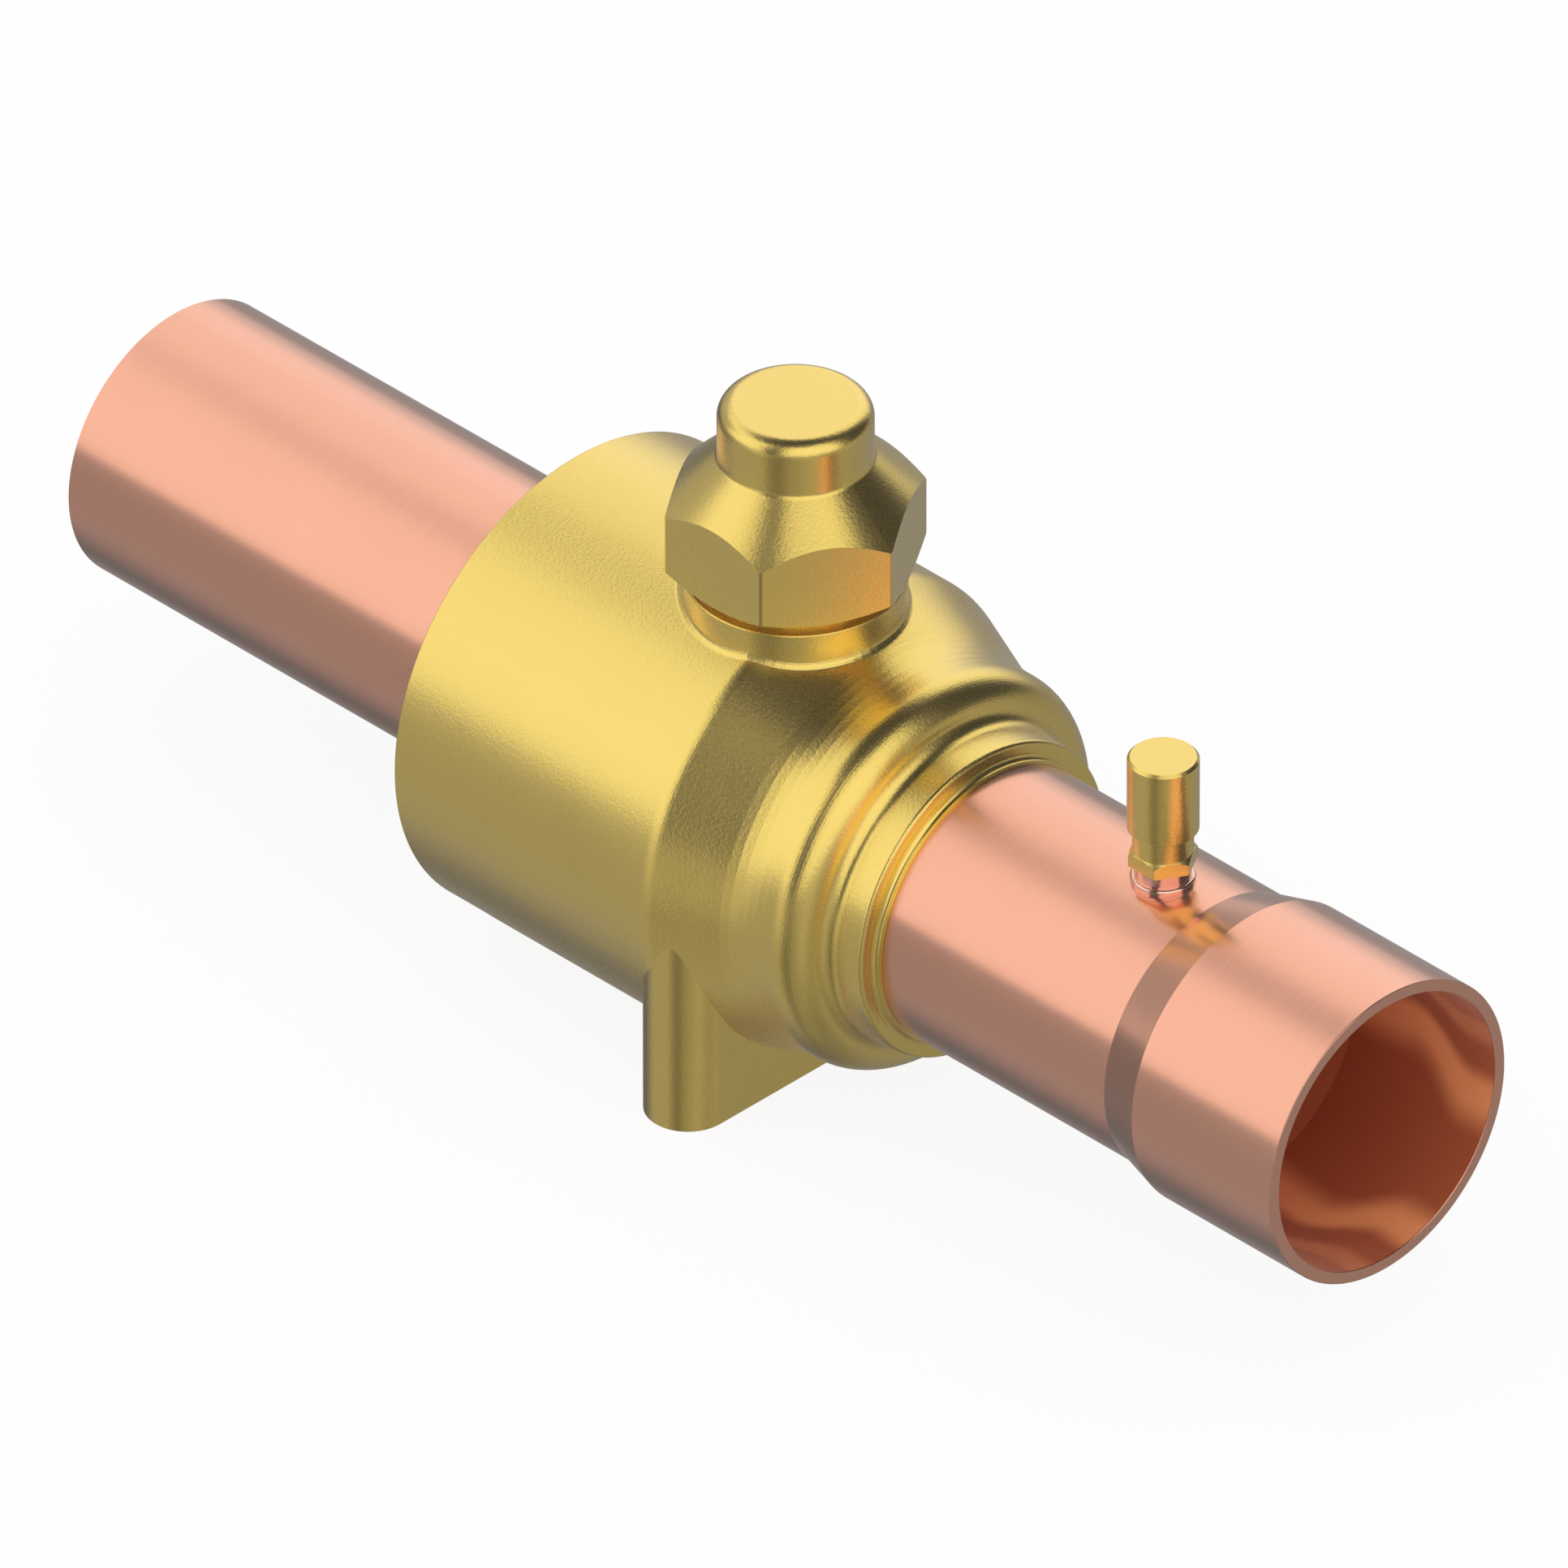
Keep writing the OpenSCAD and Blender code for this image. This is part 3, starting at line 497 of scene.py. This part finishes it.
def cut_thread(name, tree, finish):
    """One thread as a plain mesh, on the valve."""
    made = bpy.data.objects.new(name, bpy.data.meshes.new(name))
    bpy.context.scene.collection.objects.link(made)
    grown = made.modifiers.new("thread", "NODES")
    grown.node_group = tree
    for socket_name, value in {**THREADS[name], "Finish": finish}.items():
        grown[tree.interface.items_tree[socket_name].identifier] = value
    view = bpy.context.evaluated_depsgraph_get()
    mesh = bpy.data.meshes.new_from_object(made.evaluated_get(view))
    made.modifiers.remove(grown)
    made.data = mesh
    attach(made, "valve")


class VALVE_OT_threads(bpy.types.Operator):
    """Cut the threads of the neck and of the access fitting"""

    bl_idname = "valve.threads"
    bl_label = "Threads"

    def execute(self, context):
        tree = thread_tree()
        brass = frame["nodes"]["gland_nut"].material_slots[0].material
        cut_thread("neck_thread", tree, brass)
        cut_thread("fitting_thread", tree, brass)
        return {"FINISHED"}


class VALVE_OT_body(bpy.types.Operator):
    """Finish the forged body and its closure"""

    bl_idname = "valve.body"
    bl_label = "Body and closure"

    def execute(self, context):
        brass = blasted_brass(context.scene.valve_finish, "forged_brass")
        dress(brass, "valve_body", "closure")
        return {"FINISHED"}


class VALVE_OT_tubes(bpy.types.Operator):
    """Finish the copper tubes and the beads of brazing filler"""

    bl_idname = "valve.tubes"
    bl_label = "Tubes"

    def execute(self, context):
        sizes = context.scene.valve_finish
        dress(drawn_copper_painted_bore(sizes), "inlet_tube", "outlet_tube")
        dress(braze_filler(sizes), "inlet_braze", "outlet_braze")
        return {"FINISHED"}


class VALVE_OT_caps(bpy.types.Operator):
    """Finish the seal cap, the gland nut and the access valve"""

    bl_idname = "valve.caps"
    bl_label = "Caps and access valve"

    def execute(self, context):
        sizes = context.scene.valve_finish
        cap_brass = blasted_brass(sizes, "blasted_cap")
        dress(cap_brass, "seal_cap", "access_cap", "access_fitting")
        bar_brass = blasted_brass(sizes, "turned_brass", 80.0, (0.97, 1.04), 0.05, 0.04)
        dress(bar_brass, "gland_nut", "core_body")
        dress(polished_copper(sizes), "access_stub")
        return {"FINISHED"}


class VALVE_OT_inside(bpy.types.Operator):
    """Finish the ball, the stem, the seats and the seals"""

    bl_idname = "valve.inside"
    bl_label = "Inner pieces"

    def execute(self, context):
        dress(plain_metal("polished_chrome", (0.80, 0.81, 0.83), 0.05, 0.12), "ball")
        steel = plain_metal("turned_steel", (0.56, 0.57, 0.58), 0.25, 0.4)
        dress(steel, "stem", "stop_pin", "core_pin", "core_spring")
        ptfe = moulded("white_ptfe", (0.80, 0.80, 0.77), 0.4, 900.0)
        dress(ptfe, "inlet_seat", "outlet_seat", "thrust_washer", "packing")
        dress(ptfe, "cap_gasket", "core_seal")
        rubber = moulded("black_rubber", (0.03, 0.03, 0.03), 0.6, 1500.0)
        dress(rubber, "closure_ring", "inlet_seat_ring", "outlet_seat_ring", "stem_rings")
        dress(rubber, "core_washer", "access_gasket")
        low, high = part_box("core_spring")
        foot = (low + high) / 2
        foot.z = low.z
        spring = frame["nodes"]["core_spring"]
        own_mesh(spring)
        return {"FINISHED"}


# Studio


def sheet(name, centre, side, material):
    """A square that lies flat, facing up."""
    half = side / 2
    x, y, z = centre
    ways = ((-1, -1), (1, -1), (1, 1), (-1, 1))
    corners = [(x + i * half, y + j * half, z) for i, j in ways]
    mesh = bpy.data.meshes.new(name)
    mesh.from_pydata(corners, [], [(0, 1, 2, 3)])
    mesh.materials.append(material)
    made = bpy.data.objects.new(name, mesh)
    bpy.context.scene.collection.objects.link(made)
    return made


def dome(name, radius, material):
    """A sphere round the whole set, which the metal reflects and the camera doesn't see."""
    made = bpy.data.objects.new(name, bpy.data.meshes.new(name))
    bpy.context.scene.collection.objects.link(made)
    shape = bmesh.new()
    bmesh.ops.create_uvsphere(shape, u_segments=64, v_segments=32, radius=radius)
    shape.to_mesh(made.data)
    shape.free()
    made.data.materials.append(material)
    made.visible_camera = False
    made.visible_diffuse = False
    made.visible_shadow = False
    made.visible_transmission = False


def floor_material():
    """Paper that is nearly plain white to the camera, and so keeps only a trace of the shadow."""
    material, t = shader("floor_paper")
    paper = t.node("ShaderNodeBsdfDiffuse", inputs={"Color": (0.95, 0.95, 0.95, 1.0)})
    white = t.node("ShaderNodeEmission", inputs={"Color": WHITE, "Strength": 1.0})
    path = t.node("ShaderNodeLightPath")
    names = ("Is Camera Ray", "Is Glossy Ray", "Is Transmission Ray")
    camera, glossy, through = t.outputs(path, *names)
    seen = (camera + glossy + through) * 0.9
    close(t, t.node("ShaderNodeMixShader", inputs={0: seen, 1: paper, 2: white}))
    return material


def studio_wall(radius, ground):
    """Two large soft boxes under a dark ceiling, over a grey ground with lighter and darker parts.

    Angles are in degrees: side from +X and back from -X, both round the valve, and height from the
    horizon. East and north are the parts of the direction along X and Y.
    """
    material, t = shader("studio_wall")
    x, y, z = t.axes(t.place())
    side = t.angle(y, x) * math.degrees(1)
    back = t.angle(y, -x) * math.degrees(1)
    height = t.angle(z, t.distance(x, y)) * math.degrees(1)
    right_box = side.between((-68, -58), (15, 28)) * (1 - height.over(57, 67))
    left_box = back.between((-94, -84), (86, 100)) * (1 - height.over(53, 63))
    seam = 1 - 0.65 * back.between((-38, -22), (34, 44)) * (1 - height.over(28, 40))
    low = 1 - 0.45 * back.over(20, 35) * (1 - height.over(3, 20))
    above = 0.03 + 1.01 * (right_box + left_box * seam * low)

    east, north = x / radius, y / radius
    front = (-north).over(-0.1, 0.45) * (0.7 - 0.35 * east.over(-0.2, 0.4))
    rear = north.over(0.1, 0.45) * 0.35
    paler = 0.2 * east.over(-0.3, 0.4) + 0.25 * east.over(0.6, 0.8)
    paler = paler + 0.6 * (-north).over(0.85, 0.95)
    west = 1 - 0.5 * (-east).over(0.65, 0.85)
    gap = 1 - 0.5 * side.between((-94, -82), (-66, -56))
    glow = 1 + 0.15 * side.between((-40, -22), (8, 24))
    below = ground * (0.28 + front + rear + paler) * west * gap * glow

    grey = below + height.over(-1, 2) * (above - below)
    close(t, t.node("ShaderNodeEmission", inputs={"Color": grey, "Strength": 1.0}))
    return material


def white_world(scene):
    """A plain white world behind the floor."""
    world = bpy.data.worlds.new("studio")
    scene.world = world
    world.use_nodes = True
    t = Tree(world.node_tree)
    backdrop = t.node("ShaderNodeBackground", inputs={"Color": WHITE, "Strength": 1.0})
    t.node("ShaderNodeOutputWorld", inputs={"Surface": backdrop})


def soft_lamp(scene):
    """A round lamp over the inlet that gives the faint shadow. The metal doesn't reflect it."""
    lamp = bpy.data.lights.new("soft_box", "AREA")
    lamp.shape = "DISK"
    lamp.size = 1.6
    lamp.energy = 4.0
    box = bpy.data.objects.new("soft_box", lamp)
    box.location = (-1.2, -1.6, 1.5)
    aim = Vector((0, 0, AXIS_Z)) - box.location
    box.rotation_euler = aim.to_track_quat("-Z", "Y").to_euler()
    box.visible_glossy = False
    scene.collection.objects.link(box)


def far_camera(scene, stage):
    """A camera so far away that its view is nearly parallel, as the photo's is."""
    camera = bpy.data.cameras.new("camera")
    camera.lens = 1500.0
    camera.sensor_width = 36.0
    camera.clip_start = 1.0
    camera.clip_end = 100.0
    target = Vector((-0.0033, 0.0004, 0.0452))
    turn, rise = stage.azimuth, stage.elevation
    level = math.cos(rise)
    back = Vector((math.sin(turn) * level, -math.cos(turn) * level, math.sin(rise)))
    view = bpy.data.objects.new("camera", camera)
    view.location = target + back * (stage.view_width * camera.lens / camera.sensor_width)
    view.rotation_euler = (-back).to_track_quat("-Z", "Y").to_euler()
    scene.collection.objects.link(view)
    scene.camera = view


class VALVE_OT_stage(bpy.types.Operator):
    """Set up the floor, the soft light and the camera"""

    bl_idname = "valve.stage"
    bl_label = "Studio"

    def execute(self, context):
        scene = context.scene
        stage = scene.valve_stage
        floor = sheet("floor", (0, 0, -0.0001), stage.floor_size, floor_material())
        floor.visible_glossy = False
        radius = stage.floor_size / 2
        dome("studio_wall", radius, studio_wall(radius, stage.ground_shade))
        white_world(scene)
        soft_lamp(scene)
        far_camera(scene, stage)
        scene.view_settings.view_transform = "Standard"
        return {"FINISHED"}


class VALVE_PT_panel(bpy.types.Panel):
    bl_label = "Ball valve"
    bl_idname = "VALVE_PT_panel"
    bl_space_type = "VIEW_3D"
    bl_region_type = "UI"
    bl_category = "Valve"

    def draw(self, context):
        for made in PIECES:
            self.layout.operator(made.bl_idname)
        for group in (context.scene.valve_finish, context.scene.valve_stage):
            for name in group.__annotations__:
                self.layout.prop(group, name)


PIECES = (
    VALVE_OT_body,
    VALVE_OT_tubes,
    VALVE_OT_caps,
    VALVE_OT_threads,
    VALVE_OT_inside,
    VALVE_OT_stage,
)
CLASSES = (ValveFinish, ValveStage, *PIECES, VALVE_PT_panel)


def register():
    for made in CLASSES:
        bpy.utils.register_class(made)
    bpy.types.Scene.valve_finish = bpy.props.PointerProperty(type=ValveFinish)
    bpy.types.Scene.valve_stage = bpy.props.PointerProperty(type=ValveStage)


def unregister():
    del bpy.types.Scene.valve_stage
    del bpy.types.Scene.valve_finish
    for made in reversed(CLASSES):
        bpy.utils.unregister_class(made)


def main():
    register()
    bpy.ops.valve.body()
    bpy.ops.valve.tubes()
    bpy.ops.valve.caps()
    bpy.ops.valve.threads()
    bpy.ops.valve.inside()
    bpy.ops.valve.stage()


if __name__ == "__main__":
    main()
